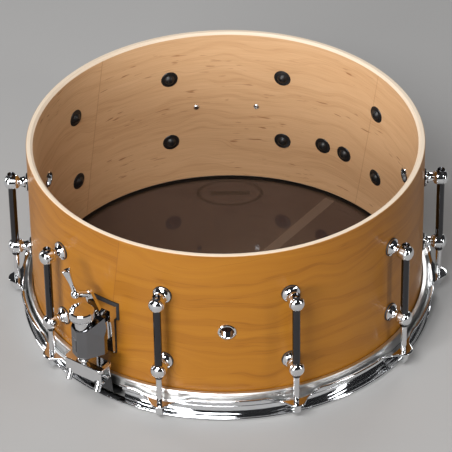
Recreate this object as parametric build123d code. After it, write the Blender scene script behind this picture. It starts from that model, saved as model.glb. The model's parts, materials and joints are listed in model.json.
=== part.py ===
from build123d import *
import os
from math import cos, radians, sin

# Snare drum, 14 in across and 6.5 in deep, standing on its snare-side hoop with its batter head and hoop off.
# Origin: the drum's axis at the plane that the hoop's rim rests on. +Z is up and -Y is the front.
# Azimuths run round the drum from the front towards +X. A place on the drum is given by three numbers:
# s round the drum from an azimuth, d out from the axis, and z above the shell's lower edge.

# Shell
SHELL_R = 176.0
SHELL_WALL = 6.0
SHELL_DEPTH = 163.0
EDGE_CUT = 2.2          # inner 45 degree cut of the bearing edges
EDGE_ROUND = 1.2        # outer roundover of the bearing edges
RIM_DROP = 7.0          # from the shell's lower edge down to the hoop's rim
BORE_R = SHELL_R - SHELL_WALL

# Tube lugs
LUG_COUNT = 10
LUG_STEP = 360 / LUG_COUNT
LUG_AZIMUTHS = [LUG_STEP * (i + 0.5) for i in range(LUG_COUNT)]
LUG_R = 191.0           # radius of the circle of lug tubes
LUG_ROWS = (47.0, 117.6)
BALL_R = 6.75
POST_FOOT_R = 7.9
POST_NECK_R = 4.0
GASKET = 0.9            # thickness of a lug's gasket at its centre
TUBE_R = 3.5
TUBE_BORE_R = 2.72      # the batter rods' bore, from the tube's top
ROD_BORE_R = 2.95       # the snare-side rods' bore, from the tube's bottom
TUBE_WEB = (78.0, 84.0) # solid web between the two bores
TUBE_END = 8.6          # how far a tube runs past the centre of its end balls
LUG_SCREW_R = 2.1
SHELL_HOLE_R = 2.6
CUP_WASHER_R = 8.1

# Snare-side head and hoop
FILM = 0.35
FILM_R = 175.6
FILM_TOP = -0.05
COLLAR_R = 177.2
FLESH_HOOP_Z = (8.1, 18.3)
FLESH_HOOP_R = (176.8, 181.4)
EAR_Z = (9.9, 12.2)
EAR_HOLE_R = 3.3
HOOP_RIM_R = 186.0
HOOP_SHEET = 2.3
GATE_HALF = 19.0        # half width of the hoop's snare gates
GATE_FLOOR = -3.2

# Tension rods
ROD_R = 2.65
ROD_TOP = 74.0
WASHER_R = 5.0
WASHER = 1.4
ROD_COLLAR_R = 4.2
ROD_SQUARE = 6.35
ROD_SQUARE_LENGTH = 7.0
SMALL_GAP = 0.1

# Vents and badge
VENT_AZIMUTHS = (0, 108, 252)
VENT_Z = 83.0
VENT_RING_R = 7.9
VENT_BARREL_R = 6.6
VENT_HOLE_R = 5.9
BADGE_Z = 82.0
BADGE_HALF = (33.0, 12.0)
BADGE_PIN_TURN = 9.5

# Snares
SNARE_AZIMUTH = -36.0   # the strainer's azimuth; the butt plate is opposite
STRANDS = 12
STRAND_STEP = 2.15
STRAND_R = 0.9
STRAND_Z = -1.6
STRAND_END = 150.0
END_PLATE_LENGTH = 16.0
END_PLATE_Z = (-2.1, -1.1)
STRAP_HALF = 12.5
STRAP = 0.6
STRAP_Z = -2.5

# Strainer
KNOB_D = 209.8          # distance of the knob's and slider's axis from the drum's axis
KNOB_R = 10.8
KNOB_Z = (95.0, 103.9)
KNOB_NECK_R = 6.8
KNOB_NECK_Z = 79.0
FLUTES = 36
SLIDER_R = 4.1
SLIDER_Z = (49.5, 78.9)
COLLAR_RING_R = 5.3     # two rings on the slider below the housing
COLLAR_RINGS = ((50.0, 52.4), (53.6, 56.0))
CLAMP_ROD_R = 2.45
STEM_R = 1.5
RUN = 0.06              # radial running clearance
PIVOT_Z = 87.5
PIVOT_R = 2.2
ARM_D = (187.0, 190.2)
GRIP_BALL = (-14.0, 200.0, 108.3)
GRIP_TIP = (-23.2, 200.0, 130.0)
GRIP_BALL_R = 4.1
HOUSING_BACK = 197.0
HOUSING_PLAN = ((16.2, 201.0), (8.3, 214.9), (0, 218.4))    # side corner, front corner and ridge: s and d
HOUSING_Z = (57.0, 84.5)                                    # floor, and top of the ridge
HOUSING_SLOPE = 0.374                                       # rise of the top for each step inwards
HOUSING_WELL_Z = 74.5                                       # floor of the knob neck's well
KNOB_ROOM_Z = 90.7                                          # floor of the room cut round the knob
SPINE_Z = (59.0, 78.5)
JAW_SCREW_S = 15.3
JAW_SCREW_D = 208.6
JAW_SCREW_TILT = 30.0
JAW_SCREW_R = 1.9
JAW_SCREW_SHAFT = 15.2
JAW_SCREW_HEAD = 10.0
JAW_FLANGE_R = 4.7
JAW_FLANGE = 1.3
UPPER_JAW_Z = (43.8, 46.8)
LOWER_JAW_Z = (32.5, 43.2)

# Butt plate
BUTT_Z = 52.9
BUTT_BASE_D = 190.0


def out_plane(azimuth, d, z):
    """A plane facing out of the drum: its x runs round the drum, its y is up, its z points outwards."""
    a = radians(azimuth)
    return Plane(
        origin=(d * sin(a), -d * cos(a), z + RIM_DROP),
        x_dir=(cos(a), sin(a), 0),
        z_dir=(sin(a), -cos(a), 0),
    )


def up_plane(azimuth, d, z):
    """A level plane at a place on the drum: its x runs round the drum, its y points inwards."""
    a = radians(azimuth)
    return Plane(origin=(d * sin(a), -d * cos(a), z + RIM_DROP), x_dir=(cos(a), sin(a), 0), z_dir=(0, 0, 1))


def block(s, d, z, corner=0.0):
    """A box by its spans in s, d and z at azimuth 0, with its upright edges rounded."""
    box = Box(s[1] - s[0], d[1] - d[0], z[1] - z[0])
    if corner:
        box = fillet(box.edges().filter_by(Axis.Z), corner)
    return Pos((s[0] + s[1]) / 2, -(d[0] + d[1]) / 2, (z[0] + z[1]) / 2 + RIM_DROP) * box


def rod(radius, z0, z1):
    """A cylinder on the z axis from z0 to z1."""
    return Pos(0, 0, (z0 + z1) / 2) * Cylinder(radius, z1 - z0)


def turned(*points):
    """A solid turned about the z axis from (radius, height) points."""
    return revolve(make_face(Plane.XZ * Polyline(*points, close=True)), Axis.Z)


def ring(points):
    """A ring about the drum's axis from (d, z) points."""
    return Pos(0, 0, RIM_DROP) * turned(*points)


def at_strainer(shape):
    """Turns a shape made at azimuth 0 to the strainer's azimuth."""
    return Rot(0, 0, SNARE_AZIMUTH) * shape


def at_butt(shape):
    """Turns a shape made at azimuth 0 to the butt plate's azimuth."""
    return Rot(0, 0, SNARE_AZIMUTH + 180) * shape


def shell_core():
    """The space inside the shell's outer surface, for trimming what lies on it."""
    return Pos(0, 0, SHELL_DEPTH / 2) * Cylinder(SHELL_R, SHELL_DEPTH * 2)


def seated(pad):
    """A pad trimmed to lie on the shell's curved outside."""
    return pad - shell_core()


def lug_places():
    """Every post's azimuth and height."""
    return [(azimuth, z) for azimuth in LUG_AZIMUTHS for z in LUG_ROWS]


def strainer_screw_places():
    return [(SNARE_AZIMUTH, 50.0), (SNARE_AZIMUTH, 74.0)]


def butt_screw_places():
    turn = 4.05
    return [(SNARE_AZIMUTH + 180 - turn, BUTT_Z), (SNARE_AZIMUTH + 180 + turn, BUTT_Z)]


def badge_pin_places():
    return [(180 - BADGE_PIN_TURN, BADGE_Z), (180 + BADGE_PIN_TURN, BADGE_Z)]


def drill(places, radius):
    """Radial drills through the shell's wall."""
    reach = SHELL_WALL * 3
    middle = SHELL_R - SHELL_WALL / 2
    return [out_plane(azimuth, middle, z) * Cylinder(radius, reach) for azimuth, z in places]


def shell():
    low, high, wide = 0.0, SHELL_DEPTH, SHELL_R
    body = ring([
        (BORE_R, low + EDGE_CUT), (BORE_R + EDGE_CUT, low), (wide, low),
        (wide, high), (BORE_R + EDGE_CUT, high), (BORE_R, high - EDGE_CUT),
    ])
    outer_edges = [e for e in body.edges().filter_by(GeomType.CIRCLE) if abs(e.radius - wide) < 1e-6]
    body = fillet(outer_edges, EDGE_ROUND)
    screws = lug_places() + strainer_screw_places() + butt_screw_places()
    holes = drill(screws, SHELL_HOLE_R)
    holes += drill([(azimuth, VENT_Z) for azimuth in VENT_AZIMUTHS], VENT_BARREL_R)
    holes += drill(badge_pin_places(), 1.0)
    return body - holes


def lug_post():
    """A turned post on its side: a flared foot, a neck and a ball that the tube runs through."""
    ball_at = LUG_R - SHELL_R
    flare = ThreePointArc((POST_FOOT_R, GASKET + 1.6), (POST_NECK_R + 1.1, GASKET + 3.4), (POST_NECK_R, 8.5))
    outline = Polyline((POST_NECK_R, 8.5), (POST_NECK_R, ball_at), (0, ball_at), (0, GASKET),
                       (POST_FOOT_R, GASKET), (POST_FOOT_R, GASKET + 1.6))
    post = revolve(make_face(Plane.XZ * (flare + outline)), Axis.Z)
    post += Pos(0, 0, ball_at) * Sphere(BALL_R)
    post -= Pos(0, 0, ball_at) * Rot(90, 0, 0) * Cylinder(TUBE_R, 4 * BALL_R)
    return post - rod(LUG_SCREW_R, 0, 9)


def lug_posts(row):
    post = lug_post()
    return [out_plane(azimuth, SHELL_R, LUG_ROWS[row]) * post for azimuth in LUG_AZIMUTHS]


def lug_gaskets():
    blank = rod(POST_FOOT_R + 0.4, -1, GASKET) - rod(SHELL_HOLE_R, -2, 2)
    return [seated(out_plane(azimuth, SHELL_R, z) * blank) for azimuth, z in lug_places()]


def lug_tubes():
    """Tubes through the balls, each bored from both ends and solid between the bores."""
    low, high = LUG_ROWS[0] - TUBE_END, LUG_ROWS[1] + TUBE_END
    tube = rod(TUBE_R, 0, high - low)
    tube -= rod(TUBE_BORE_R, TUBE_WEB[1] - low, high - low + 1)
    tube -= rod(ROD_BORE_R, -1, TUBE_WEB[0] - low)
    ends = tube.edges().filter_by(GeomType.CIRCLE).group_by(Axis.Z)
    tube = chamfer(ends[0] + ends[-1], 0.25)
    return [up_plane(azimuth, LUG_R, low) * tube for azimuth in LUG_AZIMUTHS]


def wall_screw(reach):
    """A domed screw put in from inside the shell, its shank running outwards by reach from the wall's bore."""
    dome = Sphere(5.6) & rod(6, 2.9, 6)
    dome = Pos(0, 0, -1.2) * Rot(180, 0, 0) * Pos(0, 0, -2.9) * dome
    dome -= Pos(0, 0, -4.4) * Rot(0, 0, 45) * Box(3.6, 0.9, 2.2)
    return dome + rod(LUG_SCREW_R, -1.2, reach)


def cup_washer():
    """A dished washer under a wall screw's head."""
    return turned((LUG_SCREW_R, -1.2), (5.2, -1.2), (CUP_WASHER_R - 0.5, -0.8), (CUP_WASHER_R, -0.2),
                  (LUG_SCREW_R, -0.2))


def placed_in_wall(piece, places):
    return [out_plane(azimuth, BORE_R, z) * piece for azimuth, z in places]


def vent_eyelets():
    """Eyelets in the shell, each a barrel with a flange at both ends."""
    front, back = SHELL_WALL + 1.3, -1.0
    eyelet = turned(
        (VENT_HOLE_R, back), (VENT_RING_R - 0.8, back), (VENT_RING_R, back + 0.7), (VENT_RING_R, 0.6),
        (VENT_BARREL_R, 0.6), (VENT_BARREL_R, SHELL_WALL - 0.6), (VENT_RING_R, SHELL_WALL - 0.6),
        (VENT_RING_R, front - 0.6), (VENT_RING_R - 0.8, front), (VENT_HOLE_R + 0.4, front),
        (VENT_HOLE_R, front - 0.4),
    )
    wall = ring([(BORE_R, 20), (SHELL_R, 20), (SHELL_R, 140), (BORE_R, 140)])
    wall -= drill([(azimuth, VENT_Z) for azimuth in VENT_AZIMUTHS], VENT_BARREL_R)
    return [out_plane(azimuth, BORE_R, VENT_Z) * eyelet - wall for azimuth in VENT_AZIMUTHS]


def badge_plate():
    """A thin blank plate bent round the back of the shell."""
    s, z = BADGE_HALF
    blank = Box(2 * s, 20, 2 * z)
    blank = fillet(blank.edges().filter_by(Axis.Y), 5)
    bent = ring([(SHELL_R + 0.05, BADGE_Z - 20), (SHELL_R + 0.85, BADGE_Z - 20),
                 (SHELL_R + 0.85, BADGE_Z + 20), (SHELL_R + 0.05, BADGE_Z + 20)])
    plate = bent & (Pos(0, SHELL_R, BADGE_Z + RIM_DROP) * blank)
    return plate - drill(badge_pin_places(), 1.0)


def badge_pins():
    pin = rod(1.0, -0.2, SHELL_WALL + 0.9)
    pin += turned((0, -1.1), (1.9, -1.0), (2.8, -0.2), (0, -0.2))
    top = SHELL_WALL + 0.9
    pin += turned((0, top), (1.9, top), (1.3, top + 0.8), (0, top + 0.9))
    return placed_in_wall(pin, badge_pin_places())


def snare_head_film():
    """The film's flat disc, under the bearing edge."""
    return Pos(0, 0, RIM_DROP) * rod(FILM_R, FILM_TOP - FILM, FILM_TOP)


def snare_head_collar():
    """The film's formed collar, round the bearing edge and up to the flesh hoop."""
    low = FILM_TOP - FILM
    return ring([
        (FILM_R, low), (FILM_R + 0.25, low), (COLLAR_R + FILM, 1.4), (COLLAR_R + FILM, FLESH_HOOP_Z[0]),
        (COLLAR_R, FLESH_HOOP_Z[0]), (COLLAR_R, 1.55), (FILM_R + 0.1, FILM_TOP), (FILM_R, FILM_TOP),
    ])


def flesh_hoop():
    inner, outer = FLESH_HOOP_R
    low, high = FLESH_HOOP_Z
    return ring([(inner, low), (outer, low), (outer, high - 1), (outer - 1, high), (inner + 0.6, high),
                 (inner, high - 0.6)])


def ear():
    """A hoop ear at azimuth 0, with curved flanks that run into the hoop's edge."""
    flank = [(25, 184.0), (18.5, 186.0), (12.4, 188.6), (7.8, 194.2), (0, 199.6)]
    outline = [(s, -d) for s, d in flank] + [(-s, -d) for s, d in reversed(flank[:-1])]
    edge = Spline(*outline)
    root = Polyline((-25, -184.0), (-25, -181.0), (25, -181.0), (25, -184.0))
    return Pos(0, 0, EAR_Z[0] + RIM_DROP) * extrude(make_face(edge + root), EAR_Z[1] - EAR_Z[0])


def snare_hoop():
    """A triple-flanged hoop: rim, wall, shoulder under the flesh hoop, skirt, flared edge and ten ears."""
    rim_top = HOOP_SHEET - RIM_DROP
    wall = 178.2
    skirt = 181.9
    hoop = ring([
        (wall, -RIM_DROP), (HOOP_RIM_R - 0.8, -RIM_DROP), (HOOP_RIM_R, rim_top - 1.5),
        (HOOP_RIM_R - 0.8, rim_top), (wall + HOOP_SHEET, rim_top), (wall + HOOP_SHEET, 5.2),
        (skirt + HOOP_SHEET, 7.2), (skirt + HOOP_SHEET, 12.6), (186.6, 15.0), (184.9, 16.4),
        (skirt, 13.4), (skirt, 8.0), (wall, 6.0),
    ])
    over_ear = block((-15, 15), (180.5, 190), (EAR_Z[1], 18))
    gate = block((-GATE_HALF, GATE_HALF), (176, 190), (GATE_FLOOR, 18))
    hoop -= [Rot(0, 0, azimuth) * over_ear for azimuth in LUG_AZIMUTHS]
    hoop -= [at_strainer(gate), at_butt(gate)]
    inside = ring([(150, 0), (skirt, 0), (skirt, 20), (150, 20)])
    one_ear = ear() - inside
    hoop += [Rot(0, 0, azimuth) * one_ear for azimuth in LUG_AZIMUTHS]
    holes = [up_plane(azimuth, LUG_R, EAR_Z[0]) * Cylinder(EAR_HOLE_R, 20) for azimuth in LUG_AZIMUTHS]
    return hoop - holes


def tension_rod():
    """A rod whose shank rises from a collar and a square head, from the hoop ear's underside as zero."""
    collar_top = -WASHER - 2 * SMALL_GAP
    collar = rod(ROD_COLLAR_R, collar_top - 2.0, collar_top)
    head = Pos(0, 0, collar_top - 2.0 - ROD_SQUARE_LENGTH / 2) * Box(ROD_SQUARE, ROD_SQUARE, ROD_SQUARE_LENGTH)
    head = chamfer(head.edges().group_by(Axis.Z)[0], 0.8)
    shank = rod(ROD_R, collar_top, ROD_TOP - EAR_Z[0])
    shank = chamfer(shank.edges().group_by(Axis.Z)[-1], 0.7)
    return shank + collar + head


def tension_rods():
    piece = tension_rod()
    return {f"tension_rod_{i + 1:02d}": [up_plane(azimuth, LUG_R, EAR_Z[0]) * piece]
            for i, azimuth in enumerate(LUG_AZIMUTHS)}


def rod_washers():
    washer = rod(WASHER_R, -WASHER - SMALL_GAP, -SMALL_GAP) - rod(EAR_HOLE_R - 0.3, -4, 4)
    return [up_plane(azimuth, LUG_R, EAR_Z[0]) * washer for azimuth in LUG_AZIMUTHS]


def snare_wires():
    """Straight strands across the head, each with the outer size of its coil."""
    first = -STRAND_STEP * (STRANDS - 1) / 2
    strand = Rot(90, 0, 0) * Cylinder(STRAND_R, 2 * STRAND_END)
    return [at_strainer(Pos(first + i * STRAND_STEP, 0, STRAND_Z + RIM_DROP) * strand) for i in range(STRANDS)]


def snare_end_plates():
    half = STRAP_HALF + 1
    plate = block((-half, half), (STRAND_END, STRAND_END + END_PLATE_LENGTH), END_PLATE_Z, corner=1.5)
    return [at_strainer(plate), at_butt(plate)]


def strap(points, radii):
    """A strap whose middle follows (d, z) points with rounded bends."""
    route = FilletPolyline(*[(0, -d, z + RIM_DROP) for d, z in points], radius=radii)
    section = Plane(origin=route @ 0, x_dir=(1, 0, 0), z_dir=route % 0) * Rectangle(2 * STRAP_HALF, STRAP)
    return sweep(section, route)


def strainer_strap():
    points = [(153, STRAP_Z), (176.5, STRAP_Z), (187.0, 4.0), (192.0, 40.5), (196.5, 43.5), (210.5, 43.5)]
    return at_strainer(strap(points, [10, 7, 3, 3]))


def butt_strap():
    front = BUTT_BASE_D + STRAP / 2
    points = [(153, STRAP_Z), (176.5, STRAP_Z), (187.0, 4.0), (front, 30.0), (front, 61.0)]
    return at_butt(strap(points, [10, 7, 12]))


def strainer_gasket():
    pad = block((-13.4, 13.4), (170, 177.2), (77, 94.5), corner=1.5) + block((-9.6, 9.6), (170, 177.2), (40, 78))
    return at_strainer(seated(pad)) - drill(strainer_screw_places(), SHELL_HOLE_R)


def strainer_base():
    """The casting on the shell: back plate, top block and two cheeks with a curved front edge."""
    base = block((-9.4, 9.4), (177.2, 179.8), (42, 84), corner=1)
    base += block((-11.9, 11.9), (177.2, 186.6), (80.5, 92.5))
    profile = Spline((-186.6, 90.0), (-183.4, 80.0), (-181.6, 63.0), (-181.2, 43.5))
    back = Polyline((-181.2, 43.5), (-179.0, 43.5), (-179.0, 90.0), (-186.6, 90.0))
    cheek = Pos(0, 0, RIM_DROP) * extrude(Plane.YZ * make_face(profile + back), 1.8)
    base += [Pos(7.6, 0, 0) * cheek, Pos(-9.4, 0, 0) * cheek]
    spine = block((-7, 7), (179.8, HOUSING_BACK), SPINE_Z, corner=1)
    base = at_strainer(base + spine)
    screws = [out_plane(azimuth, BORE_R, z) * rod(LUG_SCREW_R, 0, 16) for azimuth, z in strainer_screw_places()]
    pivot = out_plane(SNARE_AZIMUTH, 0, PIVOT_Z) * rod(PIVOT_R, 181, 200)
    return base - screws - pivot


def strainer_housing():
    """The faceted housing that guides the slider, with a sloping top and a well for the knob's neck."""
    floor, ridge_top = HOUSING_Z
    side, corner, ridge = HOUSING_PLAN
    high = ridge_top + HOUSING_SLOPE * (ridge[1] - HOUSING_BACK)
    right = [(side[0], -HOUSING_BACK), (side[0], -side[1]), (corner[0], -corner[1])]
    plan = Polyline(*right, (0, -ridge[1]), *[(-x, y) for x, y in reversed(right)], close=True)
    housing = Pos(0, 0, floor + RIM_DROP) * extrude(make_face(plan), high - floor)
    cutter = Box(80, 80, 40, align=(Align.CENTER, Align.CENTER, Align.MIN))
    top = Plane(origin=(0, -ridge[1], ridge_top + RIM_DROP), z_dir=(0, -HOUSING_SLOPE, 1))
    housing -= top * cutter
    for hand in (-1, 1):
        facet = Plane(Face(Wire.make_polygon([
            Vector(hand * corner[0], -corner[1], 86.0 + RIM_DROP),
            Vector(hand * 13.5, -199.0, 91.5 + RIM_DROP),
            Vector(hand * side[0], -side[1], 75.7 + RIM_DROP),
        ])))
        if facet.z_dir.X * hand < 0:
            facet = -facet
        housing -= facet * cutter
    well = Pos(0, -KNOB_D, RIM_DROP) * rod(KNOB_NECK_R + 0.4, HOUSING_WELL_Z, high + 10)
    well += Pos(0, -KNOB_D, RIM_DROP) * rod(KNOB_R + 0.6, KNOB_ROOM_Z, high + 10)
    guide = Pos(0, -KNOB_D, RIM_DROP) * rod(SLIDER_R + RUN, floor - 1, high)
    middle = Vector(-corner[0] / 2, -(corner[1] + ridge[1]) / 2, 68.5 + RIM_DROP)
    face_dir = Vector(corner[1] - ridge[1], -corner[0], 0)
    panel = Plane(origin=middle, x_dir=(0, 0, 1), z_dir=face_dir) * Box(12, 6.2, 0.7)
    return at_strainer(housing + panel - well - guide)


def lever_pivot():
    """The lever's shouldered pivot screw and its spacer."""
    screw = rod(PIVOT_R, 181.5, ARM_D[1] + 0.3)
    screw += turned((0, ARM_D[1] + 0.3), (3.0, ARM_D[1] + 0.3), (2.8, ARM_D[1] + 1.2), (1.8, ARM_D[1] + 1.9),
                    (0, ARM_D[1] + 2.1))
    screw += rod(3.6, 186.6, ARM_D[0] - SMALL_GAP) - rod(PIVOT_R, 180, 190)
    return out_plane(SNARE_AZIMUTH, 0, PIVOT_Z) * screw


def lever_arm():
    """A flat arm from the pivot behind the knob, with a finger that reaches out to the grip."""
    knee = (-8.6, 103.8)
    hub_r, knee_r = 5.2, 4.3
    thick = ARM_D[1] - ARM_D[0]
    hub = Circle(hub_r)
    end = Pos(knee[0], knee[1] - PIVOT_Z) * Circle(knee_r)
    outline = make_hull([*hub.edges(), *end.edges()])
    arm = out_plane(SNARE_AZIMUTH, ARM_D[0], PIVOT_Z) * extrude(outline, thick)
    arm -= out_plane(SNARE_AZIMUTH, 0, PIVOT_Z) * rod(PIVOT_R + RUN, 180, 200)
    root = Vector(knee[0], -(ARM_D[0] + thick / 2), knee[1] + RIM_DROP)
    ball = Vector(GRIP_BALL[0], -GRIP_BALL[1], GRIP_BALL[2] + RIM_DROP)
    reach = ball - root
    finger = Plane(origin=root, z_dir=reach) * rod(3.1, 0, reach.length)
    finger -= Pos(*ball) * Sphere(GRIP_BALL_R)
    return arm + at_strainer(finger)


def lever_grip():
    """A ball and a trumpet-shaped handle flaring to a dished tip."""
    ball = Vector(GRIP_BALL[0], -GRIP_BALL[1], GRIP_BALL[2] + RIM_DROP)
    tip = Vector(GRIP_TIP[0], -GRIP_TIP[1], GRIP_TIP[2] + RIM_DROP)
    along = tip - ball
    length = along.length
    flare = Spline((2.3, 3.0), (2.05, 7.5), (2.6, 15.0), (4.1, length - 1.2))
    rest = Polyline((4.1, length - 1.2), (4.1, length - 0.4), (3.6, length), (0, length - 0.8), (0, 2.5), (2.3, 3.0))
    handle = revolve(make_face(Plane.XZ * (flare + rest)), Axis.Z) + Sphere(GRIP_BALL_R)
    return at_strainer(Plane(origin=ball, z_dir=along) * handle)


def slider():
    """The tube that the lever raises and drops inside the housing."""
    low, high = SLIDER_Z
    tube = rod(SLIDER_R, low, high)
    for ring in COLLAR_RINGS:
        collar = rod(COLLAR_RING_R, *ring)
        tube += chamfer(collar.edges(), 0.4)
    tube -= rod(CLAMP_ROD_R + RUN, low - 1, high + 1)
    return up_plane(SNARE_AZIMUTH, KNOB_D, 0) * tube


def tension_knob():
    """The knurled knob and the neck that turns on the slider's top."""
    low, high = KNOB_Z
    knob = rod(KNOB_R, low, high)
    knob = chamfer(knob.edges().group_by(Axis.Z)[-1], 1.0)
    knob = chamfer(knob.edges().group_by(Axis.Z)[0], 0.8)
    flute = Pos(KNOB_R + 0.25, 0, (low + high) / 2 - 0.1) * Cylinder(0.62, high - low - 2.6)
    knob -= [Rot(0, 0, i * 360 / FLUTES) * flute for i in range(FLUTES)]
    knob += rod(KNOB_NECK_R, KNOB_NECK_Z, low)
    return up_plane(SNARE_AZIMUTH, KNOB_D, 0) * (knob - rod(STEM_R, 50, high - 4))


def knob_stem():
    """The threaded stem fixed in the knob, which screws into the clamp's rod."""
    return up_plane(SNARE_AZIMUTH, KNOB_D, 0) * rod(STEM_R, 55.0, KNOB_Z[1] - 4)


def clamp_rod():
    tube = rod(CLAMP_ROD_R, UPPER_JAW_Z[0] + 0.2, 68.0) - rod(STEM_R + RUN, 51.0, 70)
    return up_plane(SNARE_AZIMUTH, KNOB_D, 0) * tube


def jaw_screw_place(s):
    """A clamp screw's seat under the lower jaw, its z pointing down and outwards along the head."""
    return Plane(
        origin=(s, -JAW_SCREW_D, LOWER_JAW_Z[0] + RIM_DROP),
        x_dir=(1, 0, 0),
        z_dir=(0, -sin(radians(JAW_SCREW_TILT)), -cos(radians(JAW_SCREW_TILT))),
    )


def jaw_screw_holes(radius):
    return [jaw_screw_place(s) * rod(radius, -JAW_SCREW_SHAFT - RUN, 12) for s in (-JAW_SCREW_S, JAW_SCREW_S)]


def upper_jaw():
    jaw = block((-20.4, 20.4), (196.0, 213.4), UPPER_JAW_Z, corner=4)
    jaw = fillet(jaw.edges().group_by(Axis.Z)[-1], 0.8)
    jaw -= Pos(0, -KNOB_D, RIM_DROP) * rod(CLAMP_ROD_R, 38, 60)
    return at_strainer(jaw - jaw_screw_holes(JAW_SCREW_R))


def lower_jaw():
    jaw = block((-19.3, 19.3), (197.6, 212.6), LOWER_JAW_Z, corner=1.5)
    seats = [jaw_screw_place(s) * rod(JAW_FLANGE_R + 0.2, -0.2, 12) for s in (-JAW_SCREW_S, JAW_SCREW_S)]
    return at_strainer(jaw - seats - jaw_screw_holes(JAW_SCREW_R + RUN))


def jaw_screws():
    """The clamp's two screws, which slope up through the lower jaw into the upper one."""
    screw = rod(JAW_SCREW_R, -JAW_SCREW_SHAFT, 0) + rod(JAW_FLANGE_R, -0.2, JAW_FLANGE)
    grip = rod(2.75, JAW_FLANGE, JAW_SCREW_HEAD)
    grip = chamfer(grip.edges().group_by(Axis.Z)[-1], 0.6)
    grip -= Pos(0, 0, JAW_SCREW_HEAD) * Box(8, 0.9, 2.4)
    return [at_strainer(jaw_screw_place(s) * (screw + grip)) for s in (-JAW_SCREW_S, JAW_SCREW_S)]


def butt_gasket():
    pad = block((-21, 21), (170, 178.0), (40, 66), corner=2)
    return at_butt(seated(pad)) - drill(butt_screw_places(), SHELL_HOLE_R)


def butt_base():
    base = block((-19.5, 19.5), (178.0, BUTT_BASE_D), (41.5, 64.5), corner=3)
    base -= block((-12, 12), (180.5, BUTT_BASE_D - 2.5), (30, 60))
    base = at_butt(base)
    base -= placed_in_wall(rod(LUG_SCREW_R, 0, 15.5), butt_screw_places())
    return base - butt_jaw_holes()


def butt_jaw_holes():
    return [at_butt(out_plane(0, 0, BUTT_Z) * Pos(s, 0, 0) * rod(JAW_SCREW_R, 184, 200)) for s in (-16, 16)]


def butt_jaw():
    jaw = block((-19.5, 19.5), (BUTT_BASE_D + STRAP, BUTT_BASE_D + STRAP + 4.4), (43, 63), corner=1.5)
    jaw = fillet(jaw.edges().filter_by(Axis.X), 1.2)
    return at_butt(jaw) - butt_jaw_holes()


def butt_jaw_screws():
    front = BUTT_BASE_D + STRAP + 4.4
    screw = rod(JAW_SCREW_R, 184.2, front)
    screw += turned((0, front), (3.4, front), (3.2, front + 1.4), (1.8, front + 2.3), (0, front + 2.5))
    screw -= Pos(0, 0, front + 2.3) * Box(8, 0.9, 1.6)
    return [at_butt(out_plane(0, 0, BUTT_Z) * Pos(s, 0, 0) * screw) for s in (-16, 16)]


def nodes():
    """Every sub-part's node name and solids."""
    mount_places = strainer_screw_places() + butt_screw_places()
    pieces = {
        "shell": [shell()],
        "upper_lug_posts": lug_posts(1),
        "lower_lug_posts": lug_posts(0),
        "lug_gaskets": lug_gaskets(),
        "lug_tubes": lug_tubes(),
        "lug_screws": placed_in_wall(wall_screw(14.6), lug_places()),
        "lug_screw_washers": placed_in_wall(cup_washer(), lug_places()),
        "vent_eyelets": vent_eyelets(),
        "badge_plate": [badge_plate()],
        "badge_pins": badge_pins(),
        "snare_head_film": [snare_head_film()],
        "snare_head_collar": [snare_head_collar()],
        "flesh_hoop": [flesh_hoop()],
        "snare_hoop": [snare_hoop()],
        "rod_washers": rod_washers(),
        "snare_wires": snare_wires(),
        "snare_end_plates": snare_end_plates(),
        "strainer_strap": [strainer_strap()],
        "butt_strap": [butt_strap()],
        "strainer_gasket": [strainer_gasket()],
        "strainer_base": [strainer_base()],
        "strainer_housing": [strainer_housing()],
        "lever_pivot": [lever_pivot()],
        "lever_arm": [lever_arm()],
        "lever_grip": [lever_grip()],
        "slider": [slider()],
        "tension_knob": [tension_knob()],
        "knob_stem": [knob_stem()],
        "clamp_rod": [clamp_rod()],
        "upper_jaw": [upper_jaw()],
        "lower_jaw": [lower_jaw()],
        "jaw_screws": jaw_screws(),
        "mount_screws": placed_in_wall(wall_screw(14.6), mount_places),
        "mount_screw_washers": placed_in_wall(cup_washer(), mount_places),
        "butt_gasket": [butt_gasket()],
        "butt_base": [butt_base()],
        "butt_jaw": [butt_jaw()],
        "butt_jaw_screws": butt_jaw_screws(),
    }
    pieces.update(tension_rods())
    return pieces


os.makedirs("parts", exist_ok=True)
for name, pieces in nodes().items():
    solids = [solid for piece in pieces for solid in piece.solids()]
    export_step(Compound(children=solids) if len(solids) > 1 else solids[0], f"parts/{name}.step")
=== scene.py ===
import json
import math

import bmesh
import bpy
import numpy as np
from mathutils import Matrix, Vector


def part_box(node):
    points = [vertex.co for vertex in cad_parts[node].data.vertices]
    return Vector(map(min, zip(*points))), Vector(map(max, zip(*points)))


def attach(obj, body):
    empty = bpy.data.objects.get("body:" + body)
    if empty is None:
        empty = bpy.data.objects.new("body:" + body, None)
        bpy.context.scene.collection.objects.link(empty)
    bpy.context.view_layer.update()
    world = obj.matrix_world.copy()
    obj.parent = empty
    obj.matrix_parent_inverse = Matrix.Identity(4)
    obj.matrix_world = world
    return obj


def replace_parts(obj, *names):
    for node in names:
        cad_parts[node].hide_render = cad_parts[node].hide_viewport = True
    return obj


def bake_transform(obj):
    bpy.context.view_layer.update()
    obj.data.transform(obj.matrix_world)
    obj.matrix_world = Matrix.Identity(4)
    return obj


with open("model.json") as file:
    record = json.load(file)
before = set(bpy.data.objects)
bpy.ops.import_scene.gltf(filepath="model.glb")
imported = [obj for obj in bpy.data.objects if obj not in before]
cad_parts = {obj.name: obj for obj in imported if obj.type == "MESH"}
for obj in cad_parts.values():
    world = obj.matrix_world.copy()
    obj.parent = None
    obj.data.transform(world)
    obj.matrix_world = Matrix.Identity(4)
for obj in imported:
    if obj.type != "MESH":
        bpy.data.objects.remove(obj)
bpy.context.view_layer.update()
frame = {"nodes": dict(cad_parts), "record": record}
NODES = frame["nodes"]


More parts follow.
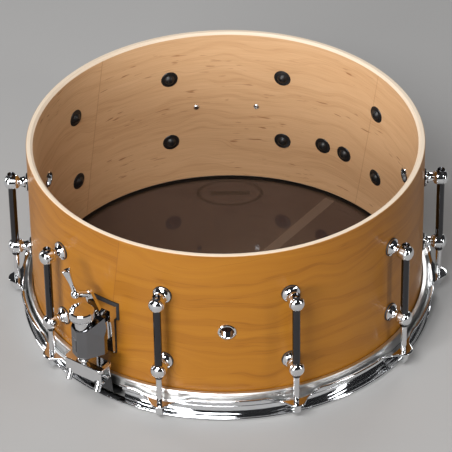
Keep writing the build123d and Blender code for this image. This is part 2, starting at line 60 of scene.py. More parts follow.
# ---------------------------------------------------------------- places, in metres from the frame's origin

SHELL_LOW, SHELL_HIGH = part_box("shell")
SHELL_R = SHELL_HIGH.x
SHELL_BOTTOM = SHELL_LOW.z
SHELL_TOP = SHELL_HIGH.z
EDGE_CUT = 0.0022           # height of a bearing edge's cut
LUG_COUNT = 10
LUG_STEP = 2 * math.pi / LUG_COUNT
LUG_AZIMUTHS = [LUG_STEP * (i + 0.5) for i in range(LUG_COUNT)]
SNARE_AZIMUTH = math.radians(-36)       # the strainer's azimuth; the butt plate is opposite
MM = 0.001


def middle(node):
    """The middle of a CAD node's box."""
    low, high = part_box(node)
    return (low + high) / 2


def out_of(azimuth):
    """The direction out of the drum at an azimuth, which runs from the front towards +X."""
    return Vector((math.sin(azimuth), -math.cos(azimuth), 0))


def round_of(azimuth):
    """The direction round the drum at an azimuth."""
    return Vector((math.cos(azimuth), math.sin(azimuth), 0))


# ---------------------------------------------------------------- camera

CAMERA_ELEVATION = math.radians(36.12)
CAMERA_TURN = math.radians(0.46)
CAMERA_ROLL = math.radians(0.92)
CAMERA_DISTANCE = 2.9112
CAMERA_AIM = Vector((-0.00079, 0, SHELL_TOP - 0.09675))
LENS = 257.94               # millimetres, on a sensor 36 mm wide


def make_camera():
    """A long lens, 36 degrees above the front, aimed at the drum's axis and rolled slightly."""
    back = Vector((0, -math.cos(CAMERA_ELEVATION), math.sin(CAMERA_ELEVATION)))
    right = Vector((1, 0, 0))
    up = back.cross(right)
    spin = Matrix.Rotation(CAMERA_TURN, 4, "Z")
    tilted_right = right * math.cos(CAMERA_ROLL) - up * math.sin(CAMERA_ROLL)
    tilted_up = up * math.cos(CAMERA_ROLL) + right * math.sin(CAMERA_ROLL)
    axes = Matrix((tilted_right, tilted_up, back)).transposed().to_4x4()
    data = bpy.data.cameras.new("camera")
    data.sensor_width = 36.0
    data.lens = LENS
    data.clip_end = 20.0
    camera = bpy.data.objects.new("camera", data)
    bpy.context.scene.collection.objects.link(camera)
    camera.matrix_world = spin @ Matrix.Translation(CAMERA_AIM + back * CAMERA_DISTANCE) @ axes
    bpy.context.scene.camera = camera


# ---------------------------------------------------------------- floor and light

# Each lamp's name, place, aim, width and height in metres, and watts
LAMPS = [
    ("key", (-1.5, -2.4, 0.75), (0, 0, 0.08), (1.3, 0.8), 56),
    ("high", (-0.45, -1.3, 1.6), (0, 0.1, 0.1), (1.1, 0.8), 34),
    ("strip_right", (1.5, -0.9, 0.55), (0, 0, 0.1), (0.16, 1.3), 7),
    ("strip_left", (-1.5, 0.5, 0.6), (0, 0, 0.1), (0.2, 1.3), 7),
    ("back", (0.9, 2.3, 1.2), (0, 0, 0.1), (1.2, 0.8), 26),
]
FLOOR_GAP = 0.0005          # the floor lies this far under the drum


def area_light(name, place, aim, size, power):
    """A soft rectangular lamp at a place, which faces its aim."""
    data = bpy.data.lights.new(name, "AREA")
    data.shape = "RECTANGLE"
    data.size, data.size_y = size
    data.energy = power
    light = bpy.data.objects.new(name, data)
    light.location = place
    light.rotation_euler = (Vector(aim) - Vector(place)).to_track_quat("-Z", "Y").to_euler()
    bpy.context.scene.collection.objects.link(light)


def make_studio():
    """A pale floor in a dim room, lit from the front left, above, both sides and behind."""
    bpy.context.scene.view_settings.view_transform = "Standard"
    world = bpy.data.worlds.new("studio")
    world.use_nodes = True
    background = world.node_tree.nodes["Background"]
    background.inputs["Color"].default_value = (0.5, 0.5, 0.52, 1)
    background.inputs["Strength"].default_value = 0.05
    bpy.context.scene.world = world
    for lamp in LAMPS:
        area_light(*lamp)
    bpy.ops.mesh.primitive_plane_add(size=8, location=(0, 0, -FLOOR_GAP))
    floor = bpy.context.object
    floor.name = "floor"
    shader = Shader("floor")
    shader.set(color=(0.43, 0.425, 0.42), rough=0.7, specular=0.2)
    floor.data.materials.append(shader.material)


# ---------------------------------------------------------------- shader building blocks

class Shader:
    """A material with short calls for its nodes."""

    def __init__(self, name):
        self.material = bpy.data.materials.new(name)
        self.material.use_nodes = True
        self.tree = self.material.node_tree
        self.bsdf = self.tree.nodes["Principled BSDF"]

    def set(self, color=None, rough=None, metal=None, coat=None, specular=None, alpha=None):
        """Sets constants on the shader's own sockets."""
        values = {"Base Color": (*color, 1) if color else None, "Roughness": rough, "Metallic": metal,
                  "Coat Weight": coat, "Specular IOR Level": specular, "Alpha": alpha}
        for name, value in values.items():
            if value is not None:
                self.bsdf.inputs[name].default_value = value

    def node(self, kind, **inputs):
        made = self.tree.nodes.new(kind)
        for name, value in inputs.items():
            self.feed(made.inputs[name], value)
        return made

    def feed(self, socket, value):
        """Links a node's output to the socket, or sets the socket's value."""
        if isinstance(value, bpy.types.NodeSocket):
            self.tree.links.new(value, socket)
        elif isinstance(value, tuple) and len(value) == 3 and socket.type == "RGBA":
            socket.default_value = (*value, 1)
        else:
            socket.default_value = value

    def place(self):
        """The point's place in the drum's frame."""
        return self.node("ShaderNodeTexCoord").outputs["Object"]

    def split(self, vector):
        parts = self.node("ShaderNodeSeparateXYZ", Vector=vector)
        return parts.outputs[0], parts.outputs[1], parts.outputs[2]

    def join(self, x, y, z):
        made = self.tree.nodes.new("ShaderNodeCombineXYZ")
        for socket, value in zip(made.inputs, (x, y, z)):
            self.feed(socket, value)
        return made.outputs[0]

    def math(self, operation, *values):
        made = self.tree.nodes.new("ShaderNodeMath")
        made.operation = operation
        for socket, value in zip(made.inputs, values):
            self.feed(socket, value)
        return made.outputs[0]

    def length(self, x, y):
        """The length of a vector in the plane."""
        return self.math("SQRT", self.math("ADD", self.math("MULTIPLY", x, x), self.math("MULTIPLY", y, y)))

    def along(self, direction, x, y):
        """How far a point lies along a level direction."""
        return self.math("ADD", self.math("MULTIPLY", x, direction.x), self.math("MULTIPLY", y, direction.y))

    def scaled(self, vector, scale):
        made = self.tree.nodes.new("ShaderNodeVectorMath")
        made.operation = "MULTIPLY"
        self.feed(made.inputs[0], vector)
        made.inputs[1].default_value = scale
        return made.outputs[0]

    def noise(self, vector, scale=1.0, detail=3.0, roughness=0.5):
        made = self.node("ShaderNodeTexNoise", Vector=vector, Scale=scale, Detail=detail, Roughness=roughness)
        return made.outputs["Fac"]

    def ramp(self, factor, *stops):
        """Colours or greys at positions along a factor."""
        made = self.tree.nodes.new("ShaderNodeValToRGB")
        self.feed(made.inputs[0], factor)
        elements = made.color_ramp.elements
        while len(elements) < len(stops):
            elements.new(1.0)
        for element, (position, colour) in zip(elements, stops):
            element.position = position
            element.color = (*colour, 1) if isinstance(colour, tuple) else (colour, colour, colour, 1)
        return made.outputs[0]

    def mix(self, factor, a, b):
        """Colour a where the factor is 0, and colour b where it is 1."""
        made = self.tree.nodes.new("ShaderNodeMix")
        made.data_type = "RGBA"
        self.feed(made.inputs[0], factor)
        self.feed(made.inputs[6], a)
        self.feed(made.inputs[7], b)
        return made.outputs[2]

    def step(self, value, low, high):
        """0 below low, 1 above high."""
        made = self.node("ShaderNodeMapRange")
        self.feed(made.inputs[0], value)
        made.inputs[1].default_value = low
        made.inputs[2].default_value = high
        return made.outputs[0]

    def bump(self, height, strength, distance):
        made = self.node("ShaderNodeBump", Height=height, Strength=strength, Distance=distance)
        self.tree.links.new(made.outputs[0], self.bsdf.inputs["Normal"])

    def to(self, name, value):
        self.feed(self.bsdf.inputs[name], value)


# ---------------------------------------------------------------- materials

def chrome(name="chrome", color=(0.80, 0.81, 0.825), rough=0.05):
    """Polished plating with faint smears and hairlines."""
    s = Shader(name)
    s.set(metal=1.0)
    smear = s.noise(s.place(), scale=55, detail=4)
    hair = s.noise(s.scaled(s.place(), (900, 900, 120)), scale=1.0, detail=2)
    s.to("Base Color", s.ramp(smear, (0.3, tuple(c * 0.94 for c in color)), (0.7, color)))
    rough_value = s.math("MULTIPLY_ADD", smear, 0.06, rough - 0.03)
    s.to("Roughness", s.math("MULTIPLY_ADD", hair, 0.02, rough_value))
    s.bump(hair, 0.02, 0.0001)
    return s.material


def band(s, value, centre, half, soft):
    """1 inside a band of a value, 0 outside it."""
    away = s.math("ABSOLUTE", s.math("SUBTRACT", value, centre))
    return s.math("SUBTRACT", 1.0, s.step(away, half - soft, half + soft))


# Scarfed ends of the outer and inner plies: azimuth, height there, and lean in radians for each metre up
OUTER_SEAM = (math.radians(-32.4), 0.130, 0.743)
INNER_SEAM = (math.radians(-135.5), 0.1155, -1.068)
PATCH_SEAM = 1.468      # the inner ply's second joint, as an angle past the first, less half a turn


def angle_from_seam(s, x, y, z, azimuth, height, lean):
    """The angle round the drum, from minus half a turn to plus half a turn, which meet at a leaning seam."""
    seam = s.math("MULTIPLY_ADD", s.math("SUBTRACT", z, height), lean, azimuth)
    sine, cosine = s.math("SINE", seam), s.math("COSINE", seam)
    out = s.math("SUBTRACT", s.math("MULTIPLY", x, sine), s.math("MULTIPLY", y, cosine))
    along = s.math("ADD", s.math("MULTIPLY", x, cosine), s.math("MULTIPLY", y, sine))
    return s.math("ARCTAN2", s.math("MULTIPLY", along, -1.0), s.math("MULTIPLY", out, -1.0))


def maple():
    """Steam-bent maple: satin amber outside, bare inside, pale on the cut edges, scarfed where it meets."""
    s = Shader("maple_shell")
    x, y, z = s.split(s.place())
    radius = s.length(x, y)
    outside = s.step(radius, SHELL_R - 0.0006, SHELL_R - 0.0001)
    outer_angle = angle_from_seam(s, x, y, z, *OUTER_SEAM)
    inner_angle = angle_from_seam(s, x, y, z, *INNER_SEAM)
    shift = s.math("SUBTRACT", outer_angle, inner_angle)
    angle = s.math("ADD", inner_angle, s.math("MULTIPLY", outside, shift))
    along = s.math("MULTIPLY", angle, SHELL_R)
    layer = s.math("MULTIPLY", outside, 3.0)
    sheet = s.join(along, layer, z)
    warp = s.noise(s.scaled(sheet, (9, 1, 14)), detail=2)
    wavy = s.math("ADD", z, s.math("MULTIPLY", s.math("SUBTRACT", warp, 0.5), 0.055))
    rings = s.noise(s.join(s.math("MULTIPLY", along, 2.6), layer, s.math("MULTIPLY", wavy, 95)), detail=3,
                    roughness=0.6)
    contour = s.math("PINGPONG", s.math("MULTIPLY", rings, 9.0), 1.0)
    line = s.step(contour, 0.16, 0.0)
    fibre = s.noise(s.scaled(sheet, (26, 1, 1500)), detail=2)
    fleck = s.noise(s.scaled(sheet, (52, 1, 420)), detail=1)
    patch = s.noise(s.scaled(sheet, (9, 1, 26)), detail=1)
    fleck = s.math("MULTIPLY", s.step(fleck, 0.645, 0.71), s.step(patch, 0.52, 0.60))
    cloud = s.noise(s.scaled(sheet, (5, 1, 9)), detail=2)
    lacquer = s.ramp(rings, (0.28, (0.252, 0.090, 0.006)), (0.5, (0.322, 0.124, 0.009)),
                     (0.74, (0.378, 0.155, 0.013)))
    lacquer = s.mix(s.ramp(fibre, (0.35, 0.28), (0.65, 0.0)), lacquer, (0.266, 0.097, 0.013))
    lacquer = s.mix(s.ramp(cloud, (0.35, 0.0), (0.75, 0.35)), lacquer, (0.406, 0.172, 0.020))
    lacquer = s.mix(s.math("MULTIPLY", line, 0.42), lacquer, (0.189, 0.059, 0.004))
    bare = s.ramp(rings, (0.3, (0.600, 0.360, 0.185)), (0.5, (0.655, 0.405, 0.215)),
                  (0.72, (0.695, 0.440, 0.240)))
    bare = s.mix(s.ramp(fibre, (0.34, 0.26), (0.62, 0.0)), bare, (0.422, 0.213, 0.090))
    bare = s.mix(s.math("MULTIPLY", line, 0.26), bare, (0.400, 0.200, 0.085))
    bare = s.mix(s.math("MULTIPLY", fleck, 0.75), bare, (0.260, 0.100, 0.030))
    seam = s.step(s.math("ABSOLUTE", angle), math.pi - 0.0035, math.pi - 0.0008)
    patch_seam = band(s, inner_angle, PATCH_SEAM, 0.0018, 0.0014)
    lacquer = s.mix(s.math("MULTIPLY", seam, 0.55), lacquer, (0.210, 0.069, 0.009))
    either_seam = s.math("MAXIMUM", seam, patch_seam)
    bare = s.mix(s.math("MULTIPLY", either_seam, 0.5), bare, (0.317, 0.148, 0.049))
    rim_place = s.join(s.math("MULTIPLY", along, 30), s.math("MULTIPLY", radius, 2600), 0.0)
    cut = s.ramp(s.noise(rim_place, detail=2), (0.3, (0.76, 0.60, 0.44)), (0.7, (0.88, 0.75, 0.60)))
    from_middle = s.math("ABSOLUTE", s.math("SUBTRACT", z, (SHELL_TOP + SHELL_BOTTOM) / 2))
    half = (SHELL_TOP - SHELL_BOTTOM) / 2
    at_edge = s.step(from_middle, half - EDGE_CUT - 0.0002, half - EDGE_CUT + 0.0003)
    within = s.math("SUBTRACT", 1.0, s.step(radius, SHELL_R - 0.0008, SHELL_R - 0.0002))
    edge = s.math("MULTIPLY", at_edge, within)
    s.to("Base Color", s.mix(edge, s.mix(outside, bare, lacquer), cut))
    s.to("Roughness", s.math("MULTIPLY_ADD", outside, -0.20, 0.60))
    s.set(coat=0.0, specular=0.32)
    s.bump(s.math("SUBTRACT", s.math("MULTIPLY", fibre, 0.5), fleck), 0.12, 0.0002)
    return s.material


MARK_PLACE = (0.0023, 0.1438)      # middle of the film's printed mark
MARK_HALF = (0.030, 0.019)         # half its width and half its depth
STRAND_PITCH = 0.00215             # from one snare wire to the next
BAND_MIDDLE, BAND_HALF = 0.0008, 0.0052     # the painted pale band of light from the snares under the film, measured across their axis
FILM_SHADE_RING = (0.1625, 0.1665)       # radii between which the film is painted dark with shade, towards the bearing edge


def film():
    """Smoky glossy drum film with a plain printed mark, a painted pale band of light where the lit snares lie
    under it, and a painted dark ring of shade round its edge.
    """
    s = Shader("head_film")
    x, y, _ = s.split(s.place())
    haze = s.noise(s.place(), scale=30, detail=3)
    smoke = s.ramp(haze, (0.3, (0.066, 0.043, 0.037)), (0.7, (0.078, 0.052, 0.045)))
    # painted light: a pale striped band is painted into the film's colour along the snares, standing in for
    # the lit wires seen through it
    side = s.along(round_of(SNARE_AZIMUTH), x, y)
    strands = s.math("PINGPONG", s.math("MULTIPLY", side, 1 / STRAND_PITCH), 0.5)
    painted_snare_light = band(s, side, BAND_MIDDLE, BAND_HALF, 0.0006)
    snares = s.math("MULTIPLY", painted_snare_light, s.ramp(strands, (0.1, 0.40), (0.4, 0.62)))
    coloured = s.mix(snares, smoke, (0.205, 0.150, 0.115))
    oval_x = s.math("MULTIPLY", s.math("SUBTRACT", x, MARK_PLACE[0]), 1 / MARK_HALF[0])
    oval_y = s.math("MULTIPLY", s.math("SUBTRACT", y, MARK_PLACE[1]), 1 / MARK_HALF[1])
    oval = s.length(oval_x, oval_y)
    bar = s.math("MULTIPLY", band(s, oval_x, 0.0, 0.62, 0.01), band(s, oval_y, 0.0, 0.16, 0.02))
    mark = s.math("MAXIMUM", band(s, oval, 1.0, 0.06, 0.02), bar)
    coloured = s.mix(s.math("MULTIPLY", mark, 0.75), coloured, (0.022, 0.015, 0.013))
    # painted shade: the film's outer ring is darkened for the shadow and dark reflection of the gap at the
    # bearing edge
    s.to("Base Color", s.mix(s.step(s.length(x, y), *FILM_SHADE_RING), coloured, (0.006, 0.005, 0.005)))
    s.to("Roughness", s.math("MULTIPLY_ADD", haze, 0.05, 0.05))
    s.set(alpha=0.86, specular=0.75)
    s.bump(s.noise(s.place(), scale=6, detail=1), 0.10, 0.0005)
    s.material.blend_method = "BLEND"
    return s.material


WARP_PITCH, WEFT_PITCH = 0.0011, 0.0007


def webbing():
    """Black woven tape."""
    s = Shader("strap")
    x, y, z = s.split(s.place())
    side = s.along(round_of(SNARE_AZIMUTH), x, y)
    way = s.math("ADD", s.along(out_of(SNARE_AZIMUTH), x, y), z)
    warp = s.math("PINGPONG", s.math("MULTIPLY", side, 1 / WARP_PITCH), 0.5)
    weft = s.math("PINGPONG", s.math("MULTIPLY", way, 1 / WEFT_PITCH), 0.5)
    weave = s.math("MULTIPLY", warp, weft)
    fuzz = s.noise(s.place(), scale=1500, detail=3)
    s.to("Base Color", s.ramp(s.math("MULTIPLY_ADD", weave, 2.0, s.math("MULTIPLY", fuzz, 0.4)),
                              (0.1, (0.010, 0.010, 0.011)), (0.8, (0.040, 0.040, 0.043))))
    s.to("Roughness", s.math("MULTIPLY_ADD", fuzz, 0.2, 0.6))
    s.bump(weave, 0.6, 0.0003)
    return s.material


def dark(name, color, rough):
    """Black rubber or blackened steel, with a fine grain."""
    s = Shader(name)
    spots = s.noise(s.place(), scale=900, detail=3)
    s.to("Base Color", s.ramp(spots, (0.3, color), (0.75, tuple(c * 1.6 for c in color))))
    s.to("Roughness", s.math("MULTIPLY_ADD", spots, 0.2, rough - 0.1))
    s.bump(spots, 0.2, 0.0001)
    return s.material


def metal(name, color, rough, stretch):
    """Drawn or brushed metal with streaks along one way."""
    s = Shader(name)
    s.set(metal=1.0)
    streak = s.noise(s.scaled(s.place(), stretch), detail=4)
    s.to("Base Color", s.ramp(streak, (0.3, tuple(c * 0.85 for c in color)), (0.7, color)))
    s.to("Roughness", s.math("MULTIPLY_ADD", streak, 0.18, rough - 0.09))
    s.bump(streak, 0.05, 0.0001)
    return s.material


def paint(material, *names):
    """Gives CAD nodes a material."""
    for name in names:
        slots = NODES[name].data.materials
        if not slots:
            slots.append(material)
        for i in range(len(slots)):
            slots[i] = material


def paint_nodes():
    """Gives every CAD node its slot's material.

    The tubes and the housing mirror a dark room in the photograph and a pale floor here, so they are darker.
    """
    by_slot = {
        "maple_shell": maple(),
        "chrome": chrome(),
        "black_gasket": dark("black_gasket", (0.012, 0.012, 0.013), 0.6),
        "black_steel": dark("black_steel", (0.006, 0.006, 0.0065), 0.42),
        "brass": metal("brass", (0.78, 0.57, 0.26), 0.25, (800, 800, 60)),
        "head_film": film(),
        "aluminium": metal("aluminium", (0.86, 0.86, 0.85), 0.32, (40, 40, 2500)),
        "steel": metal("steel", (0.62, 0.62, 0.63), 0.25, (1500, 1500, 200)),
        "strap": webbing(),
    }
    for part in frame["record"]["subparts"]:
        paint(by_slot[part["material_slot"]], part["node"])
    paint(chrome("tube_chrome", (0.075, 0.075, 0.08), 0.04), "lug_tubes")
    paint(by_slot["steel"], "badge_pins")
    paint(chrome("housing_chrome", (0.22, 0.22, 0.23), 0.05), "strainer_housing")
    return by_slot


# ---------------------------------------------------------------- mesh building blocks

def new_piece(name, verts, faces, material, slot_name, body=None, sharp_angle=40):
    """A mesh object with outward faces, smooth shading and sharp edges kept."""
    mesh = bpy.data.meshes.new(name)
    mesh.from_pydata([tuple(v) for v in verts], [], faces)
    work = bmesh.new()
    work.from_mesh(mesh)
    bmesh.ops.remove_doubles(work, verts=work.verts, dist=1e-7)
    bmesh.ops.recalc_face_normals(work, faces=work.faces)
    for edge in work.edges:
        edge.smooth = not (len(edge.link_faces) == 2 and edge.calc_face_angle() > math.radians(sharp_angle))
    for face in work.faces:
        face.smooth = True
    work.to_mesh(mesh)
    work.free()
    mesh.materials.append(material)
    piece = bpy.data.objects.new(name, mesh)
    bpy.context.scene.collection.objects.link(piece)
    if body:
        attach(piece, body)
    return piece


def curve_through(points, steps):
    """A smooth curve through points, as a list of points."""
    p = [np.array(q, float) for q in points]
    p = [2 * p[0] - p[1], *p, 2 * p[-1] - p[-2]]
    out = []
    for a, b, c, d in zip(p, p[1:], p[2:], p[3:]):
        for k in range(steps):
            u = k / steps
            squared = (2 * a - 5 * b + 4 * c - d) * u ** 2
            cubed = (3 * b - a - 3 * c + d) * u ** 3
            out.append(0.5 * (2 * b + (c - a) * u + squared + cubed))
    out.append(p[-2])
    return out


def tube_faces(rings, sides, first=0, closed=False):
    """Quads that join rings of points in a row, with caps unless the row closes."""
    faces = []
    for a in range(rings if closed else rings - 1):
        b = (a + 1) % rings
        for k in range(sides):
            m = (k + 1) % sides
            quad = (a * sides + k, a * sides + m, b * sides + m, b * sides + k)
            faces.append(tuple(first + corner for corner in quad))
    if not closed:
        faces.append(tuple(first + k for k in range(sides)))
        faces.append(tuple(first + (rings - 1) * sides + k for k in reversed(range(sides))))
    return faces


def turned(profile, places, sides=48):
    """The profile, as (radius, height) pairs, turned about the z axis of each place."""
    verts, faces = [], []
    for place in places:
        first = len(verts)
        for r, h in profile:
            for k in range(sides):
                a = 2 * math.pi * k / sides
                verts.append(place @ Vector((r * math.cos(a), r * math.sin(a), h)))
        faces += tube_faces(len(profile), sides, first)
    return verts, faces


# ---------------------------------------------------------------- lug posts

def lug_post_profile():
    """A flared foot, a thin neck, a swelling collar, a groove and a domed cap, as (radius, height) pairs."""
    foot = curve_through([(7.9, 1.9), (6.5, 2.7), (5.1, 4.2), (4.25, 6.2), (4.05, 7.6)], 5)
    collar = curve_through([(4.35, 8.2), (5.75, 9.2), (6.55, 10.9), (6.75, 13.0), (6.75, 16.5)], 5)
    dome = [(6.55 * math.cos(a), 17.35 + 4.4 * math.sin(a)) for a in map(math.radians, range(0, 88, 8))]
    groove = [(6.45, 16.8), (6.3, 16.95), (6.3, 17.15)]
    row = [(7.3, 0.2), (7.85, 0.6), *foot, *collar, *groove, *dome, (0.2, 21.75)]
    return [(r * MM, h * MM) for r, h in row]


def make_lug_posts(material):
    """Ten turned posts in each row, which point straight out of the shell."""
    for node in ("upper_lug_posts", "lower_lug_posts"):
        height = middle(node).z
        places = []
        for azimuth in LUG_AZIMUTHS:
            axes = Matrix((round_of(azimuth), (0, 0, 1), out_of(azimuth))).transposed().to_4x4()
            places.append(Matrix.Translation(out_of(azimuth) * SHELL_R + Vector((0, 0, height))) @ axes)
        verts, faces = turned(lug_post_profile(), places)
        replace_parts(new_piece("turned_" + node, verts, faces, material, "chrome", "drum"), node)


# ---------------------------------------------------------------- hoop, in millimetres

# Half an ear and the edge beside it, from above: distance from the ear's middle line, and distance out
HOOP_FLANK = [(0, 199.6), (4.4, 198.4), (7.8, 194.6), (12.4, 189.2), (18.5, 186.7), (25, 185.9), (31, 185.8)]
HOOP_RIM = [(178.2, 0.5), (178.7, 0.0), (185.2, 0.0), (185.8, 0.35), (186.0, 1.0), (185.8, 1.9), (185.2, 2.3),
            (178.7, 2.3), (178.2, 1.8)]
HOOP_WALL = [(179.35, 1.0), (179.35, 6.0), (179.35, 11.2), (179.75, 12.6), (180.9, 13.6), (182.2, 14.3)]
HOOP_SHOULDER = (182.95, 15.2)
EAR_CURVE = ((184.3, 18.0), (187.5, 18.1))      # the two handles of the skirt's curve at an ear
PLAIN_CURVE = ((182.9, 19.2), (183.7, 21.2))    # the same between ears
HOOP_R = 186                # where distances round the hoop are measured
EAR_MIDDLE_Z = 18.05        # middle of an ear's sheet above the hoop's rim
EDGE_RISE = 4.4             # the edge stands this much higher between ears
EAR_REACH, EAR_FADE = 11.5, 16      # round the hoop, where an ear starts to fade and how far it takes
SHEET_HALF = 0.95
SKIRT_STEPS = 14
GATE_HALF_ANGLE = math.radians(6.0)
RIM_STEPS, WALL_STEPS = 720, 900


def hoop_edge():
    """Angle from an ear's middle, and radius there, along the hoop's edge."""
    points = np.array(curve_through(HOOP_FLANK, 8))
    return np.arctan2(points[:, 0], points[:, 1]), np.hypot(points[:, 0], points[:, 1])


def hoop_path(offset, edge):
    """The middle of the hoop's sheet, as (radius, height) pairs, at an angle from the nearest ear."""
    angles, radii = edge
    far = min(max((abs(offset) * HOOP_R - EAR_REACH) / EAR_FADE, 0), 1)
    plain = far * far * (3 - 2 * far)
    end = np.array((float(np.interp(abs(offset), angles, radii)), EAR_MIDDLE_Z + plain * EDGE_RISE))
    shoulder = np.array(HOOP_SHOULDER)
    rise, lean = ((1 - plain) * np.array(at_ear) + plain * np.array(between)
                  for at_ear, between in zip(EAR_CURVE, PLAIN_CURVE))
    path = [np.array(p) for p in HOOP_WALL]
    for k in range(SKIRT_STEPS + 1):
        u = k / SKIRT_STEPS
        start = (1 - u) ** 3 * shoulder + 3 * u * (1 - u) ** 2 * rise
        path.append(start + 3 * u * u * (1 - u) * lean + u ** 3 * end)
    return path


def sheet_section(path):
    """A closed outline round a path, with the sheet's thickness and a rounded outer edge."""
    path = np.array(path)
    way = np.gradient(path, axis=0)
    way /= np.linalg.norm(way, axis=1)[:, None]
    side = np.stack([way[:, 1], -way[:, 0]], axis=1) * SHEET_HALF
    tip = [path[-1] + side[-1] * math.cos(a) + way[-1] * SHEET_HALF * math.sin(a) - way[-1] * SHEET_HALF
           for a in np.radians((30, 60, 90, 120, 150))]
    side_end = way[-1] * SHEET_HALF
    outer = path + side
    inner = path - side
    outer[-1] -= side_end
    inner[-1] -= side_end
    return [*outer, *tip, *inner[::-1]]


def make_hoop(material):
    """The snare-side hoop: a flat rim all round, and a wall, skirt and ten ears between the snare gates."""
    edge = hoop_edge()
    verts, faces = [], []
    for i in range(RIM_STEPS):
        azimuth = 2 * math.pi * i / RIM_STEPS
        verts += [out_of(azimuth) * r * MM + Vector((0, 0, z * MM)) for r, z in HOOP_RIM]
    faces += tube_faces(RIM_STEPS, len(HOOP_RIM), closed=True)
    for start in (SNARE_AZIMUTH, SNARE_AZIMUTH + math.pi):
        first = len(verts)
        for azimuth in np.linspace(start + GATE_HALF_ANGLE, start + math.pi - GATE_HALF_ANGLE, WALL_STEPS):
            offset = (azimuth % LUG_STEP) - LUG_STEP / 2
            section = sheet_section(hoop_path(offset, edge))
            verts += [out_of(azimuth) * r * MM + Vector((0, 0, z * MM)) for r, z in section]
        faces += tube_faces(WALL_STEPS, len(section), first)
    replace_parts(new_piece("spun_hoop", verts, faces, material, "chrome", "drum", sharp_angle=55),
                "snare_hoop")


# ---------------------------------------------------------------- snares

STRANDS = 12
STRAND_LENGTH = 0.300
COIL_R, COIL_PITCH = 0.0009, 0.0015
WIRE_R = 0.00026
COIL_STEPS, WIRE_SIDES = 8, 4       # points in a turn, and sides of the wire


def make_snares(material):
    """Twelve coiled wires between the end plates."""
    low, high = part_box("snare_wires")
    height = (low.z + high.z) / 2
    along, side, up = out_of(SNARE_AZIMUTH), round_of(SNARE_AZIMUTH), Vector((0, 0, 1))
    verts, faces = [], []
    steps = int(STRAND_LENGTH / COIL_PITCH * COIL_STEPS)
    for strand in range(STRANDS):
        first = len(verts)
        base = side * (strand - (STRANDS - 1) / 2) * STRAND_PITCH + up * height - along * STRAND_LENGTH / 2
        for k in range(steps + 1):
            a = 2 * math.pi * k / COIL_STEPS
            out = side * math.cos(a) + up * math.sin(a)
            spine = base + along * (STRAND_LENGTH * k / steps) + out * (COIL_R - WIRE_R)
            for m in range(WIRE_SIDES):
                b = 2 * math.pi * m / WIRE_SIDES
                verts.append(spine + (out * math.cos(b) + along * math.sin(b)) * WIRE_R)
        faces += tube_faces(steps + 1, WIRE_SIDES, first)
    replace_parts(new_piece("coiled_wires", verts, faces, material, "steel", "snares"), "snare_wires")


# ---------------------------------------------------------------- straps, in millimetres

STRAP_HALF_WIDTH, STRAP_HALF_THICK = 12.5, 0.3
# Each route's corners, as (distance out, height) pairs in millimetres, and the radii of its bends
STRAINER_ROUTE = ([(153, 4.5), (176.5, 4.5), (187.0, 11.0), (192.0, 47.5), (196.5, 50.5), (210.5, 50.5)],
                  [10, 7, 3, 3])
BUTT_ROUTE = ([(153, 4.5), (176.5, 4.5), (187.0, 11.0), (190.3, 37.0), (190.3, 68.0)], [10, 7, 12])
GATE_OUT = 178.5            # the strap passes from the snares' length to the drum's here
RISE_Z = 22.0               # and from the drum's length to the slider's here


def rounded(points, radii, steps=7):
    """A route with its corners rounded, as (distance, height) pairs in millimetres."""
    p = [np.array(q, float) for q in points]
    out = [p[0]]
    for a, b, c, r in zip(p, p[1:], p[2:], radii):
        ab, bc = (b - a) / np.linalg.norm(b - a), (c - b) / np.linalg.norm(c - b)
        turn = math.acos(float(np.clip(ab @ bc, -1, 1)))
        reach = min(r * math.tan(turn / 2), 0.48 * np.linalg.norm(b - a), 0.48 * np.linalg.norm(c - b))
        start, end = b - ab * reach, b + bc * reach
        for k in range(steps + 1):
            u = k / steps
            out.append((1 - u) ** 2 * start + 2 * u * (1 - u) * b + u * u * end)
    out.append(p[-1])
    return out


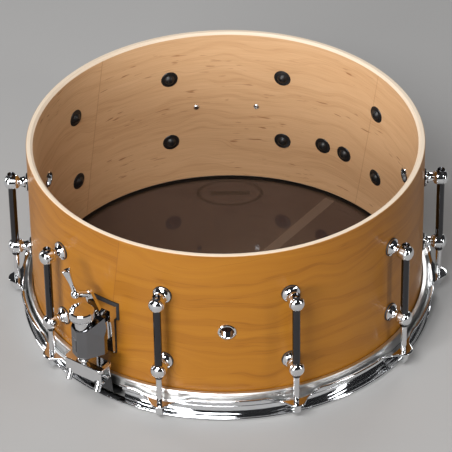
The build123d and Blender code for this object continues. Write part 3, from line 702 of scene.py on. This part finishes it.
def ribbon(route, azimuth):
    """A flat tape with rounded selvedges along a route."""
    route = np.array(route)
    way = np.gradient(route, axis=0)
    way /= np.linalg.norm(way, axis=1)[:, None]
    verts = []
    t, h = STRAP_HALF_THICK, STRAP_HALF_WIDTH
    top = [(-h + 0.2, t), (-h + 1.1, t * 0.8), (h - 1.1, t * 0.8), (h - 0.2, t)]
    bottom = [(across, -lift) for across, lift in reversed(top)]
    outline = [(-h, 0), *top, (h, 0), *bottom]
    for point, along in zip(route, way):
        for across, lift in outline:
            place = point + np.array((-along[1], along[0])) * lift
            level = out_of(azimuth) * place[0] + round_of(azimuth) * across
            verts.append((level + Vector((0, 0, place[1]))) * MM)
    return verts, tube_faces(len(route), len(outline))


def dense(route, step=1.0):
    """The same route with points no more than a step apart."""
    out = [route[0]]
    for a, b in zip(route, route[1:]):
        parts = max(1, math.ceil(np.linalg.norm(b - a) / step))
        out += [a + (b - a) * k / parts for k in range(1, parts + 1)]
    return out


def make_straps(material):
    """The strainer's strap in three lengths, and the butt's strap."""
    route = dense(rounded(*STRAINER_ROUTE))
    gate = next(i for i, p in enumerate(route) if p[0] > GATE_OUT)
    rise = next(i for i, p in enumerate(route) if p[1] > RISE_Z)
    # Name, length of the route, body at each end, and where the bend between the bodies starts and ends
    spans = [
        ("strap_gate", route[:gate + 1], "snares", "drum", (153, 4.5), (GATE_OUT, 4.5)),
        ("strap_rise", route[gate:rise + 1], "drum", "slider", (187, 7.0), (187, RISE_Z)),
        ("strap_jaws", route[rise:], "slider", "clamp", (187, RISE_Z), (187, 47.0)),
    ]
    for name, span, before, after, start, end in spans:
        piece = new_piece(name, *ribbon(span, SNARE_AZIMUTH), material, "strap")
        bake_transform(piece)
        if name == "strap_jaws":
            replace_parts(piece, "strainer_strap")
    route = dense(rounded(*BUTT_ROUTE))
    piece = new_piece("strap_butt", *ribbon(route, SNARE_AZIMUTH + math.pi), material, "strap", "drum")
    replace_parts(piece, "butt_strap")


make_camera()
make_studio()
finishes = paint_nodes()
make_lug_posts(finishes["chrome"])
make_hoop(finishes["chrome"])
make_snares(finishes["steel"])
make_straps(finishes["strap"])
